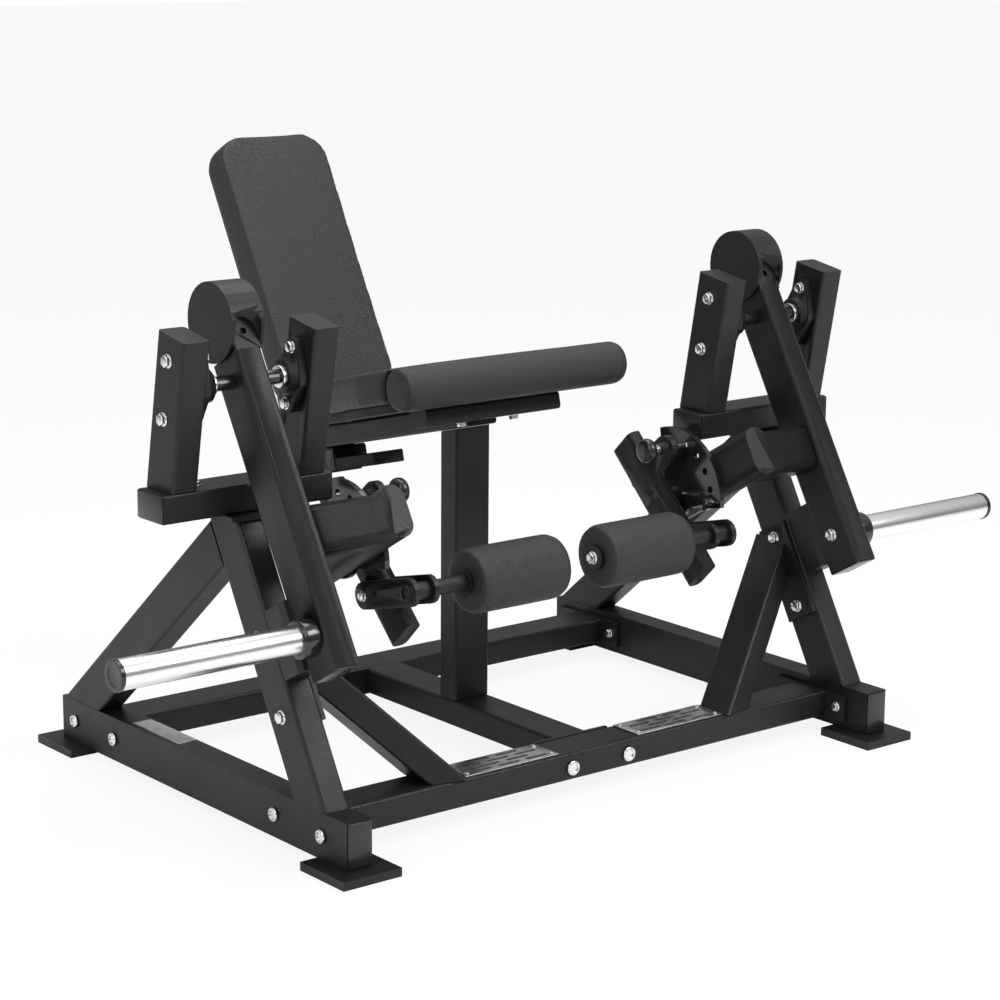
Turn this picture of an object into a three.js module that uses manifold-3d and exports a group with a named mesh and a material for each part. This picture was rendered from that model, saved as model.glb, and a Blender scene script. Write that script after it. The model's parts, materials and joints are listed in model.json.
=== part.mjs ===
// Plate-loaded leg extension machine with two separate swing arms.
// Millimetres, +Z up. The sitter faces -Y, so the sitter's left side is +X.
// Everything of the left side is built once and mirrored for the right side.
import * as THREE from "three";
import { mergeVertices } from "three/addons/utils/BufferGeometryUtils.js";
import Module from "manifold-3d";

const wasm = await Module();
wasm.setup();

// ---------------------------------------------------------------- driving dimensions
const GAP = 0.3; // clearance between pieces that touch
const RUN = 0.3; // radial clearance of a shaft in its bore
const TUBE = { narrow: 50, wide: 80, corner: 6 }; // the box tube the frame is made of
const FLANGE = 8; // thickness of the bolted flange plates
const BASE = { halfWidth: 620, halfDepth: 450, footHeight: 15 };
const FOOT = { inner: 32, outer: 33, ahead: 38, behind: 84 }; // reach past the rail's faces and end
const CROSS = { frontInset: 138, rearInset: 112, bottom: 30, flangeLength: 180 }; // from rail ends
const SPINE = { flangeWidth: 170 };
const POST = { y: 40, widthX: 78, depthY: 51 };
const TREAD = { innerX: 92, length: 206, inset: 6, thickness: 2.5 };
// The legs' faces at the rail's top stand in from its ends; their leans follow from their tops.
const FRONT_LEG = { footInset: 60, aheadOfYoke: 0.85 };
const REAR_LEG = { heelInset: 8, belowYoke: 22.5 };
const YOKE = { top: 593.5, centreY: -98.5, innerOver: 13.5, outerOver: 15 };
const UPRIGHT = { innerRoom: 77.5, outerRoom: 75, aheadOfYoke: 0.5, abovePivot: 83.3, lean: 10.2 };
const PIVOT = { aboveYoke: 169.5, behindCentre: 1.86, shaft: 12.5, insideTube: 2.5 };
const BEARING = {
  bolts: 99, flange: 14, earR: 17, bodyR: 34, hubR: 29, depth: 27, collarR: 18, collar: 9,
};
const ARM = { inward: 4, above: 42, below: 508, lean: 30.2 };
const TONGUE = { reach: 55, thickness: 6, holeR: 6 };
const DRUM = { radius: 68, over: 6, bite: 4.3, aside: -0.8 };
const STOP = { belowArm: 32, tall: 105, bumper: 18, restGap: 0.5 };
const HORN = { fromEnd: 66, radius: 25, sleeve: 318, collarR: 33, collar: 29, capR: 27, cap: 17 };
const BRACKET = {
  along: -271.6, tall: 85, deep: 60, insideYoke: 35, ovalWide: 50, ovalTall: 92, ahead: 51,
  length: 265,
};
const TILT = {
  fromEnd: 38, rim: 25, hubR: 45, plate: 9.7, holeCircle: 105, holeR: 7, holeStep: 19.5, holes: 5,
  pegR: 11, pegInside: 9, peg: 10,
};
const LEVER = {
  hub: 21.7, thick: 31, wide: 70, above: 130, below: 178, lean: 45, hubR: 28, pin: 10, capR: 22,
};
const PULL = {
  hole: 3, rod: 6, earR: 24, ear: 15, sleeveR: 11, sleeveIn: 12, sleeveOut: 14, neckR: 9, neck: 18,
  knobR: 23, knob: 22, noseGap: 0.5,
};
const CARRIER = {
  rootY: -45, rootZ: -69, rollY: -163, rollZ: -40, plate: 9.7, radius: 25, spacerR: 15, boss: 6,
};
// The roller pad fills the room between the middle of the machine and the axle's bare part.
const ROLLER = { innerX: 48, axleShown: 66.7, radius: 59, axle: 14, washerR: 22, washer: 5 };
const SEAT = {
  rollY: -88, rollZ: 704, rollR: 41, halfWidth: 252, slope: 14, thick: 62, rearHalf: 165,
  square: 120, board: 15, boardInset: 32, pastPad: 46,
};
const SEAT_FRAME = { crossHalf: 154, crossAhead: 57, crossDeep: 50, crossTall: 33, beamTall: 43 };
// The back pad's face stands at a place on the seat, counted from the roll's axis.
const BACK = {
  rearward: 514, over: 59.1, lean: 28.8, above: 508, below: 48, half: 129, thick: 70, corner: 60,
  board: 12,
};
const BACK_POST = {
  above: 330, depth: 50, slideReach: 109, housingInset: 16, slideWide: 72, slideTall: 24,
};

const RAIL_TOP = BASE.footHeight + TUBE.wide;
const RAIL_INNER = BASE.halfWidth - TUBE.narrow;
const FRONT_Y = CROSS.frontInset - BASE.halfDepth;
const REAR_Y = BASE.halfDepth - CROSS.rearInset;
const CROSS_TOP = CROSS.bottom + TUBE.narrow;
const YOKE_BOTTOM = YOKE.top - TUBE.narrow;
const YOKE_FRONT = YOKE.centreY - TUBE.wide / 2;
const ARM_INNER = RAIL_INNER - ARM.inward;
const ARM_OUTER = ARM_INNER + TUBE.narrow;
const INNER_UPRIGHT = ARM_INNER - UPRIGHT.innerRoom - TUBE.narrow; // the x where each one starts
const OUTER_UPRIGHT = ARM_OUTER + UPRIGHT.outerRoom;
const BRACKET_INNER = INNER_UPRIGHT - YOKE.innerOver - BRACKET.insideYoke;

// ---------------------------------------------------------------- materials
const finish = (color, roughness, metalness) => ({ color, roughness, metalness });
const POWDER_COAT = finish(0x1b1c1e, 0.5, 0.2);
const BLACK_PLASTIC = finish(0x101112, 0.35, 0);
const VINYL = finish(0x2b2c2f, 0.7, 0);
const CHROME = finish(0xd9dadb, 0.15, 1);
const STAINLESS = finish(0xb9bbbd, 0.3, 1);
const RUBBER = finish(0x151515, 0.9, 0);
const PLYWOOD = finish(0x1a1a1a, 0.8, 0);

// ---------------------------------------------------------------- solids
const radians = THREE.MathUtils.degToRad;
const degrees = THREE.MathUtils.radToDeg;
const X = new THREE.Vector3(1, 0, 0);
const Y = new THREE.Vector3(0, 1, 0);
const Z = new THREE.Vector3(0, 0, 1);
const vec = (x, y, z) => new THREE.Vector3(x, y, z);
// A direction in the side plane, leaning from straight up towards +Y.
const leaning = (angle) => vec(0, Math.sin(radians(angle)), Math.cos(radians(angle)));
// The direction square to it, pointing down and to the rear.
const behind = (angle) => vec(0, Math.cos(radians(angle)), -Math.sin(radians(angle)));
const along = (point, direction, distance) => point.clone().addScaledVector(direction, distance);

function solid(geometry) {
  const bare = geometry.index ? geometry.toNonIndexed() : geometry.clone();
  bare.deleteAttribute("normal");
  bare.deleteAttribute("uv");
  const merged = mergeVertices(bare, 1e-4);
  return new wasm.Manifold(
    new wasm.Mesh({
      numProp: 3,
      vertProperties: merged.attributes.position.array,
      triVerts: new Uint32Array(merged.index.array),
    }),
  );
}

// Moves a geometry drawn at the origin so that its axes lie along three directions.
function placed(geometry, origin, first, second, third) {
  const matrix = new THREE.Matrix4().makeBasis(first, second, third).setPosition(origin);
  return solid(geometry.clone().applyMatrix4(matrix));
}

function box(x0, x1, y0, y1, z0, z1) {
  const middle = vec((x0 + x1) / 2, (y0 + y1) / 2, (z0 + z1) / 2);
  return placed(new THREE.BoxGeometry(x1 - x0, y1 - y0, z1 - z0), middle, X, Y, Z);
}

function roundedRectangle(wide, tall, corner) {
  const shape = new THREE.Shape();
  const [a, b] = [wide / 2 - corner, tall / 2 - corner];
  shape.absarc(a, b, corner, 0, Math.PI / 2);
  shape.absarc(-a, b, corner, Math.PI / 2, Math.PI);
  shape.absarc(-a, -b, corner, Math.PI, 1.5 * Math.PI);
  shape.absarc(a, -b, corner, 1.5 * Math.PI, 2 * Math.PI);
  return shape;
}

const extruded = (shape, depth, segments = 2) =>
  new THREE.ExtrudeGeometry(shape, { depth, curveSegments: segments, bevelEnabled: false });

// A rounded bar from one point to another; wide is measured along the side direction.
function bar(from, to, side, wide, tall, corner = TUBE.corner, segments = 2) {
  const axis = to.clone().sub(from);
  const length = axis.length();
  axis.normalize();
  const first = side.clone().addScaledVector(axis, -side.dot(axis)).normalize();
  const second = axis.clone().cross(first);
  const shape = extruded(roundedRectangle(wide, tall, corner), length, segments);
  return placed(shape, from, first, second, axis);
}

// A plate whose outline is drawn in the side plane (y, z), standing between two x values.
const plate = (outline, x0, x1, segments = 12) =>
  placed(extruded(outline, x1 - x0, segments), vec(x0, 0, 0), Y, Z, X);

const polygon = (points) => new THREE.Shape(points.map(([y, z]) => new THREE.Vector2(y, z)));

// The outline that a belt round some circles [y, z, radius] would take.
function belt(circles, steps = 16) {
  const points = circles.flatMap(([y, z, radius]) =>
    Array.from({ length: steps }, (_, i) => {
      const angle = (2 * Math.PI * i) / steps;
      return [y + radius * Math.cos(angle), z + radius * Math.sin(angle)];
    }),
  );
  points.sort((a, b) => a[0] - b[0] || a[1] - b[1]);
  const turn = (o, a, b) => (a[0] - o[0]) * (b[1] - o[1]) - (a[1] - o[1]) * (b[0] - o[0]);
  const half = (list) => {
    const kept = [];
    for (const point of list) {
      while (kept.length > 1 && turn(kept.at(-2), kept.at(-1), point) <= 1e-6) kept.pop();
      kept.push(point);
    }
    return kept.slice(0, -1);
  };
  return polygon([...half(points), ...half(points.reverse())]);
}

function rod(from, direction, length, radius, segments = 18) {
  const middle = along(from, direction, length / 2);
  const turnIt = new THREE.Quaternion().setFromUnitVectors(Y, direction);
  const geometry = new THREE.CylinderGeometry(radius, radius, length, segments);
  return solid(geometry.applyQuaternion(turnIt).translate(middle.x, middle.y, middle.z));
}

// A turned piece: [radius, height] points from the axis back to the axis, counted along a direction.
function turned(from, direction, profile, segments = 18) {
  const geometry = new THREE.LatheGeometry(
    profile.map(([radius, height]) => new THREE.Vector2(radius, height)),
    segments,
  );
  const turnIt = new THREE.Quaternion().setFromUnitVectors(Y, direction);
  return solid(geometry.applyQuaternion(turnIt).translate(from.x, from.y, from.z));
}

// Keeps what lies on the side of a plane that the normal points to.
const keep = (piece, point, normal) =>
  piece.trimByPlane([normal.x, normal.y, normal.z], point.dot(normal));
const joined = (...pieces) => pieces.reduce((a, b) => a.add(b));

function mesh(name, piece, look) {
  const { vertProperties, triVerts } = piece.getMesh();
  const geometry = new THREE.BufferGeometry();
  geometry.setAttribute("position", new THREE.BufferAttribute(vertProperties, 3));
  geometry.setIndex(new THREE.BufferAttribute(triVerts, 1));
  geometry.computeVertexNormals();
  const made = new THREE.Mesh(geometry, new THREE.MeshStandardMaterial(look));
  made.name = name;
  return made;
}

// ---------------------------------------------------------------- base
function sideRail() {
  const rail = box(
    RAIL_INNER, BASE.halfWidth, -BASE.halfDepth, BASE.halfDepth, BASE.footHeight, RAIL_TOP);
  const foot = (end) => {
    const ends = [end * (BASE.halfDepth - FOOT.behind), end * (BASE.halfDepth + FOOT.ahead)];
    ends.sort((a, b) => a - b);
    return box(
      RAIL_INNER - FOOT.inner, BASE.halfWidth + FOOT.outer, ...ends, 0, BASE.footHeight + 0.01);
  };
  return joined(rail, foot(-1), foot(1));
}

// A cross rail with the flange plates welded to its two ends.
function crossRail(centreY) {
  const halfLength = RAIL_INNER - FLANGE;
  const tube = bar(vec(-halfLength, centreY, CROSS.bottom + TUBE.narrow / 2),
    vec(halfLength, centreY, CROSS.bottom + TUBE.narrow / 2), Y, TUBE.wide, TUBE.narrow);
  const half = CROSS.flangeLength / 2;
  const flange = box(
    halfLength - 1, RAIL_INNER - GAP, centreY - half, centreY + half, CROSS.bottom, CROSS_TOP);
  return joined(tube, flange, flange.mirror([1, 0, 0]));
}

function spine() {
  const front = FRONT_Y + TUBE.wide / 2 + GAP;
  const rear = REAR_Y - TUBE.wide / 2 - GAP;
  const height = CROSS.bottom + TUBE.narrow / 2;
  const half = SPINE.flangeWidth / 2;
  const tube = bar(vec(0, front + 1, height), vec(0, rear - 1, height), X, TUBE.wide, TUBE.narrow);
  return joined(tube,
    box(-half, half, front, front + FLANGE, CROSS.bottom, CROSS_TOP),
    box(-half, half, rear - FLANGE, rear, CROSS.bottom, CROSS_TOP));
}

function treadPlate() {
  const half = TUBE.wide / 2 - TREAD.inset;
  return box(TREAD.innerX, TREAD.innerX + TREAD.length, FRONT_Y - half, FRONT_Y + half,
    CROSS_TOP + GAP, CROSS_TOP + GAP + TREAD.thickness);
}

// ---------------------------------------------------------------- side frame
const LEG_X = BASE.halfWidth - TUBE.narrow / 2;
const legHeight = YOKE_BOTTOM - RAIL_TOP;
const footY = FRONT_LEG.footInset - BASE.halfDepth;
const legLean = degrees(Math.atan((YOKE_FRONT - FRONT_LEG.aheadOfYoke - footY) / legHeight));
const legUp = leaning(legLean);
const legRear = behind(legLean);
const legFoot = vec(LEG_X, footY, RAIL_TOP); // on the front face

const LEG_FLANGE = { halfX: 42, halfY: 58 };

function frontLeg() {
  const centre = along(legFoot, legRear, TUBE.wide / 2);
  const reach = legHeight / legUp.z + TUBE.wide;
  const tube = bar(along(centre, legUp, -TUBE.wide), along(centre, legUp, reach), X, TUBE.narrow,
    TUBE.wide);
  const top = YOKE_BOTTOM - GAP;
  const standing = keep(keep(tube, vec(0, 0, RAIL_TOP + GAP), Z), vec(0, 0, top - 1), vec(0, 0, -1));
  const { halfX, halfY } = LEG_FLANGE;
  const flange = box(
    LEG_X - halfX, LEG_X + halfX, YOKE.centreY - halfY, YOKE.centreY + halfY, top - FLANGE, top);
  return standing.add(flange);
}

function rearLeg() {
  const heel = vec(LEG_X, BASE.halfDepth - REAR_LEG.heelInset, RAIL_TOP);
  const meetUp = (legHeight - REAR_LEG.belowYoke + TUBE.wide * -legRear.z) / legUp.z;
  const meeting = along(along(legFoot, legRear, TUBE.wide), legUp, meetUp);
  const up = meeting.clone().sub(heel).normalize();
  const under = X.clone().cross(up);
  const centre = along(heel, under, TUBE.wide / 2);
  const tube = bar(along(centre, up, -1.5 * TUBE.wide),
    along(centre, up, meeting.distanceTo(heel) + TUBE.wide), X, TUBE.narrow, TUBE.wide);
  const standing = keep(tube, vec(0, 0, RAIL_TOP + GAP), Z);
  return keep(standing, along(legFoot, legRear, TUBE.wide + GAP), legRear);
}

// The brace leans outwards and back from the front rail, beside the tread plate, to a plate
// on the leg's inner face. It meets the plate above and behind the plate's middle.
const BRACE = { besideTread: 3, meetUp: 37.5, meetBack: 22.5, deep: 75 };
const BRACE_PLATE = { height: 244, half: 92, halfWide: 36 };

function brace() {
  const inner = RAIL_INNER - GAP;
  const middle = along(along(legFoot, legUp, BRACE_PLATE.height), legRear, TUBE.wide / 2);
  const meeting = along(along(middle, legUp, BRACE.meetUp), legRear, BRACE.meetBack)
    .setX(inner - FLANGE);
  const edgeX = TREAD.innerX + TREAD.length + BRACE.besideTread; // where its inner edge lands
  const [across, rise] = [meeting.x - edgeX, meeting.z - CROSS_TOP];
  const tilt = Math.atan2(across, rise) - Math.asin(TUBE.narrow / 2 / Math.hypot(across, rise));
  const foot = vec(meeting.x - rise * Math.tan(tilt), FRONT_Y, CROSS_TOP);
  const lean = meeting.clone().sub(foot).normalize();
  const tube = bar(along(foot, lean, -1.5 * TUBE.wide),
    along(meeting, lean, 2 * TUBE.wide), Y, BRACE.deep, TUBE.narrow);
  const standing = keep(tube, vec(0, 0, CROSS_TOP + GAP), Z);
  const reaching = keep(standing, vec(inner - FLANGE + 1, 0, 0), vec(-1, 0, 0));
  const [low, high] = [-1, 1].map((end) => along(middle, legUp, end * BRACE_PLATE.half));
  const edge = legRear.clone().multiplyScalar(BRACE_PLATE.halfWide);
  const corners = [low.clone().sub(edge), low.clone().add(edge), high.clone().add(edge),
    high.clone().sub(edge)];
  const onLeg = plate(polygon(corners.map((p) => [p.y, p.z])), inner - FLANGE, inner);
  return reaching.add(onLeg);
}

function yoke() {
  const height = YOKE.top - TUBE.narrow / 2;
  return bar(vec(INNER_UPRIGHT - YOKE.innerOver, YOKE.centreY, height),
    vec(OUTER_UPRIGHT + TUBE.narrow + YOKE.outerOver, YOKE.centreY, height), Y, TUBE.wide,
    TUBE.narrow);
}

const uprightUp = leaning(-UPRIGHT.lean);
const uprightRear = behind(-UPRIGHT.lean);
const uprightFront = YOKE_FRONT - UPRIGHT.aheadOfYoke; // at the yoke's top
const pivotUp = PIVOT.aboveYoke / uprightUp.z; // along the upright
const pivot = along(along(vec(0, uprightFront, YOKE.top), uprightUp, pivotUp),
  Y, TUBE.wide / 2 / uprightUp.z + PIVOT.behindCentre);

// The shaft's bore is blind: it opens on the upright's face towards the arm.
function upright(innerX, open) {
  const front = vec(innerX + TUBE.narrow / 2, uprightFront, YOKE.top);
  const centre = along(front, uprightRear, TUBE.wide / 2);
  const tube = bar(along(centre, uprightUp, -TUBE.wide),
    along(centre, uprightUp, pivotUp + UPRIGHT.abovePivot), X, TUBE.narrow, TUBE.wide);
  const depth = TUBE.narrow - PIVOT.insideTube + RUN;
  const mouth = open > 0 ? innerX + TUBE.narrow : innerX;
  const bore = rod(pivot.clone().setX(mouth + open), vec(-open, 0, 0), depth + 1,
    PIVOT.shaft + RUN);
  return keep(tube, vec(0, 0, YOKE.top + GAP), Z).subtract(bore);
}

// An oval flanged bearing on an upright's face; out is +1 or -1 along X.
function bearing(faceX, out) {
  const start = faceX + out * GAP;
  const ear = (end) => along(pivot, uprightUp, (end * BEARING.bolts) / 2);
  const circles = [[pivot.y, pivot.z, BEARING.bodyR],
    ...[-1, 1].map((end) => [ear(end).y, ear(end).z, BEARING.earR])];
  const faces = [start, start + out * BEARING.flange].sort((a, b) => a - b);
  const direction = vec(out, 0, 0);
  const hub = rod(vec(start, pivot.y, pivot.z), direction, BEARING.depth, BEARING.hubR);
  const bore = rod(vec(start - out, pivot.y, pivot.z), direction, BEARING.depth + 2,
    PIVOT.shaft + RUN);
  return plate(belt(circles), ...faces).add(hub).subtract(bore);
}

// The rest stop: a steel block on the leg's front face and a rubber bumper in front of it.
const armUp = leaning(ARM.lean);
const armRear = behind(ARM.lean);
const armBackFace = along(pivot, armRear, TUBE.wide / 2);

function stopSlab(front, rear) {
  const low = pivot.z - ARM.below * armUp.z - STOP.belowArm;
  const heights = [low, low + STOP.tall].map((z) => (z - RAIL_TOP) / legUp.z);
  const corner = (height, back) => along(along(legFoot, legUp, height), legRear, back);
  const points = [corner(heights[0], front), corner(heights[0], rear), corner(heights[1], rear),
    corner(heights[1], front)];
  return plate(polygon(points.map((p) => [p.y, p.z])), RAIL_INNER, BASE.halfWidth);
}

const stopFace = along(armBackFace, armRear, STOP.restGap);
const blockFace = along(stopFace, armRear, STOP.bumper);
const stopDeep = 2 * TUBE.wide; // further than the arm stands from the leg
const restStop = () => keep(stopSlab(-stopDeep, -GAP), blockFace, armRear);

function bumper() {
  const slab = keep(stopSlab(-stopDeep, -GAP), stopFace, armRear);
  return keep(slab, along(blockFace, armRear, -GAP), armRear.clone().negate());
}

// ---------------------------------------------------------------- swing arm
const ARM_X = ARM_INNER + TUBE.narrow / 2;
const armPoint = (distance, back = 0) =>
  along(along(pivot, armUp, distance), armRear, back).setX(ARM_X);
const armFront = -TUBE.wide / 2;

// The front wall runs on above the tube's end as a round-topped tongue with one hole.
function tongue(thicker = 0, deeper = 0) {
  const radius = TUBE.narrow / 2 + thicker;
  const straight = TONGUE.reach - TUBE.narrow / 2;
  const outline = new THREE.Shape();
  outline.moveTo(-radius, -2);
  outline.lineTo(radius, -2);
  outline.lineTo(radius, straight);
  outline.absarc(0, straight, radius, 0, Math.PI);
  const start = armPoint(ARM.above, armFront + TONGUE.thickness + thicker);
  const depth = TONGUE.thickness + thicker + deeper;
  return placed(extruded(outline, depth, 8), start, X, armUp, armRear.clone().negate());
}

const armTube = (grow = 0) => bar(armPoint(-ARM.below), armPoint(ARM.above + grow), X,
  TUBE.narrow + 2 * grow, TUBE.wide + 2 * grow, TUBE.corner + grow);
const armBore = (radius) => rod(pivot.clone().setX(ARM_INNER - 1), X, TUBE.narrow + 2, radius);

function swingArm() {
  const hole = armPoint(ARM.above + TONGUE.reach - TUBE.narrow / 2, armFront - 2);
  return armTube().add(tongue())
    .subtract(armBore(PIVOT.shaft + RUN))
    .subtract(rod(hole, armRear, TONGUE.thickness + 4, TONGUE.holeR));
}

function counterweight() {
  const centre = armPoint(ARM.above + DRUM.radius - DRUM.bite, DRUM.aside);
  const drum = rod(centre.setX(ARM_INNER - DRUM.over), X, TUBE.narrow + 2 * DRUM.over, DRUM.radius,
    36);
  return drum.subtract(armTube(GAP)).subtract(tongue(GAP, DRUM.radius));
}

// The pivot shaft with the two locking collars of its bearings.
function pivotShaft() {
  const [start, end] = [INNER_UPRIGHT + PIVOT.insideTube,
    OUTER_UPRIGHT + TUBE.narrow - PIVOT.insideTube];
  const bearingFace = GAP + BEARING.depth + GAP;
  const innerCollar = INNER_UPRIGHT + TUBE.narrow + bearingFace;
  const outerCollar = OUTER_UPRIGHT - bearingFace - BEARING.collar;
  const collar = (x) => rod(pivot.clone().setX(x), X, BEARING.collar, BEARING.collarR);
  return joined(rod(pivot.clone().setX(start), X, end - start, PIVOT.shaft),
    collar(innerCollar), collar(outerCollar));
}

const hornAt = (x) => armPoint(HORN.fromEnd - ARM.below).setX(x);

function weightHorn() {
  const start = ARM_OUTER + GAP;
  return turned(hornAt(start), X, [[0, 0], [HORN.collarR - 3, 0], [HORN.collarR, 3],
    [HORN.collarR, HORN.collar - 3], [HORN.collarR - 3, HORN.collar], [HORN.radius, HORN.collar],
    [HORN.radius, HORN.collar + HORN.sleeve], [0, HORN.collar + HORN.sleeve]], 24);
}

function hornCap() {
  const start = ARM_OUTER + HORN.collar + HORN.sleeve + 2 * GAP;
  return turned(hornAt(start), X, [[0, 0], [HORN.capR, 0], [HORN.capR, HORN.cap - 5],
    [HORN.capR - 5, HORN.cap], [0, HORN.cap]], 24);
}

// The pad bracket: a cross tube from the arm and a flat-oval tube square to the arm.
const bracketCentre = armPoint(BRACKET.along);
const ovalX = BRACKET_INNER + BRACKET.ovalWide / 2;
const ovalFront = along(bracketCentre, armRear, -BRACKET.ahead).setX(ovalX);
const tiltPivot = along(ovalFront, armRear, BRACKET.length - TILT.fromEnd);

function padBracket() {
  const cross = bar(bracketCentre.clone().setX(ovalX), bracketCentre.clone().setX(ARM_INNER - GAP),
    armUp, BRACKET.tall, BRACKET.deep, 18, 4);
  const oval = bar(ovalFront, along(ovalFront, armRear, BRACKET.length), X, BRACKET.ovalWide,
    BRACKET.ovalTall, BRACKET.ovalWide / 2 - 1, 6);
  return cross.add(oval);
}

// ---------------------------------------------------------------- lever
// Angles here are counted from straight forward (-Y) towards straight up.
const HOLE_FIRST = 15.5;
const PLATE_X = BRACKET_INNER - GAP - TILT.plate;
const LEVER_OUTER = PLATE_X - GAP - LEVER.hub;
const spot = (angle, radius) =>
  along(tiltPivot, vec(0, -Math.cos(radians(angle)), Math.sin(radians(angle))), radius);

function indexPlate() {
  const outline = new THREE.Shape();
  outline.absarc(0, 0, TILT.holeCircle + TILT.rim, radians(-1), radians(108), false);
  outline.absarc(0, 0, TILT.hubR, radians(125), radians(335), false);
  for (let i = 0; i < TILT.holes; i++) {
    const angle = radians(HOLE_FIRST + i * TILT.holeStep);
    const hole = new THREE.Path();
    const [u, v] = [TILT.holeCircle * Math.cos(angle), TILT.holeCircle * Math.sin(angle)];
    hole.absarc(u, v, TILT.holeR, 0, 2 * Math.PI, true);
    outline.holes.push(hole);
  }
  const forward = Y.clone().negate();
  const start = tiltPivot.clone().setX(BRACKET_INNER - GAP);
  const disc = placed(extruded(outline, TILT.plate, 9), start, forward, Z, X.clone().negate());
  const pinLength = start.x - LEVER_OUTER + LEVER.thick / 2 - GAP;
  const pin = rod(start, X.clone().negate(), pinLength, LEVER.pin);
  const pegRoot = spot(0, TILT.holeCircle - TILT.pegInside).setX(PLATE_X + 1);
  const peg = rod(pegRoot, X.clone().negate(), TILT.peg + 1, TILT.pegR);
  return joined(disc, pin, peg);
}

const leverUp = leaning(LEVER.lean);
const LEVER_INNER = LEVER_OUTER - LEVER.thick;
const LEVER_X = LEVER_OUTER - LEVER.thick / 2;
const leverCentre = tiltPivot.clone().setX(LEVER_X);
const pullAt = spot(HOLE_FIRST + PULL.hole * TILT.holeStep, TILT.holeCircle);
const EAR_OUTER = LEVER_INNER + PULL.ear;

// The rocking lever with its hub, its pivot cap and the ear that carries the pull pin.
function lever() {
  const tube = bar(along(leverCentre, leverUp, -LEVER.below), along(leverCentre, leverUp, LEVER.above),
    X, LEVER.thick, LEVER.wide, LEVER.thick / 2 - 3, 5);
  const hub = rod(tiltPivot.clone().setX(LEVER_OUTER - 1), X, PLATE_X - GAP - LEVER_OUTER + 1,
    LEVER.hubR);
  const cap = rod(tiltPivot.clone().setX(LEVER_INNER - 5), X, 6, LEVER.capR);
  const offset = pullAt.clone().sub(tiltPivot);
  const root = along(tiltPivot, leverUp, offset.dot(leverUp));
  const ear = plate(belt([[pullAt.y, pullAt.z, PULL.earR], [root.y, root.z, PULL.earR + 6]]),
    LEVER_INNER + 1, EAR_OUTER);
  const sleeveStart = LEVER_INNER - PULL.sleeveIn;
  const sleeveLength = EAR_OUTER + PULL.sleeveOut - sleeveStart;
  const sleeve = rod(pullAt.clone().setX(sleeveStart), X, sleeveLength, PULL.sleeveR);
  const pinBore = rod(pullAt.clone().setX(sleeveStart - 1), X, 60, PULL.rod + RUN);
  const pivotBore = rod(leverCentre, X, 60, LEVER.pin + RUN);
  return joined(tube, hub, cap, ear, sleeve).subtract(pinBore).subtract(pivotBore);
}

// The spring-loaded pull pin: its rod, neck and knob in one.
function pullPin() {
  const nose = PLATE_X - PULL.noseGap;
  const neckEnd = LEVER_INNER - PULL.sleeveIn - GAP;
  const knobEnd = neckEnd - PULL.neck;
  const length = nose - knobEnd;
  const start = pullAt.clone().setX(nose);
  return turned(start, X.clone().negate(), [[0, 0], [PULL.rod - 1, 0], [PULL.rod, 2],
    [PULL.rod, length - PULL.neck], [PULL.neckR, length - PULL.neck], [PULL.neckR, length],
    [PULL.knobR - 4, length], [PULL.knobR, length + 5], [PULL.knobR, length + PULL.knob - 6],
    [PULL.knobR - 6, length + PULL.knob], [0, length + PULL.knob]]);
}

// Two link plates clamp the lever at their rear ends, under a round boss, and hold the axle of
// the roller pad and its spacer at their front ends.
const carrierRoot = tiltPivot.clone().add(vec(0, CARRIER.rootY, CARRIER.rootZ));
const rollAt = tiltPivot.clone().add(vec(0, CARRIER.rollY, CARRIER.rollZ));
const CARRIER_INNER = LEVER_INNER - GAP - CARRIER.plate;
const CARRIER_OUTER = LEVER_OUTER + GAP + CARRIER.plate;
const ROLLER_OUTER = CARRIER_INNER - ROLLER.axleShown - ROLLER.washer - GAP;

function rollerCarrier() {
  const link = belt([[carrierRoot.y, carrierRoot.z, CARRIER.radius],
    [rollAt.y, rollAt.z, CARRIER.radius]]);
  const inner = plate(link, CARRIER_INNER, LEVER_INNER - GAP);
  const outer = plate(link, LEVER_OUTER + GAP, CARRIER_OUTER);
  const spacer = rod(rollAt.clone().setX(CARRIER_INNER + 1), X, CARRIER_OUTER - CARRIER_INNER,
    CARRIER.spacerR);
  const boss = rod(carrierRoot.clone().setX(CARRIER_OUTER - 1), X, CARRIER.boss + 1,
    CARRIER.radius - 1);
  const endWasher = ROLLER.innerX - GAP - ROLLER.washer;
  const axle = rod(rollAt.clone().setX(endWasher), X, CARRIER_INNER + 1 - endWasher, ROLLER.axle);
  const washer = (x) => rod(rollAt.clone().setX(x), X, ROLLER.washer, ROLLER.washerR);
  return joined(inner, outer, spacer, boss, axle, washer(endWasher), washer(ROLLER_OUTER + GAP));
}

function rollerPad() {
  const [r, l, soft] = [ROLLER.radius, ROLLER_OUTER - ROLLER.innerX, 9];
  const pad = turned(rollAt.clone().setX(ROLLER.innerX), X, [[0, 0], [r - soft, 0],
    [r - soft * 0.3, soft * 0.3], [r, soft], [r, l - soft], [r - soft * 0.3, l - soft * 0.3],
    [r - soft, l], [0, l]], 24);
  return pad.subtract(rod(rollAt.clone().setX(0), X, 400, ROLLER.axle + RUN));
}

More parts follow.
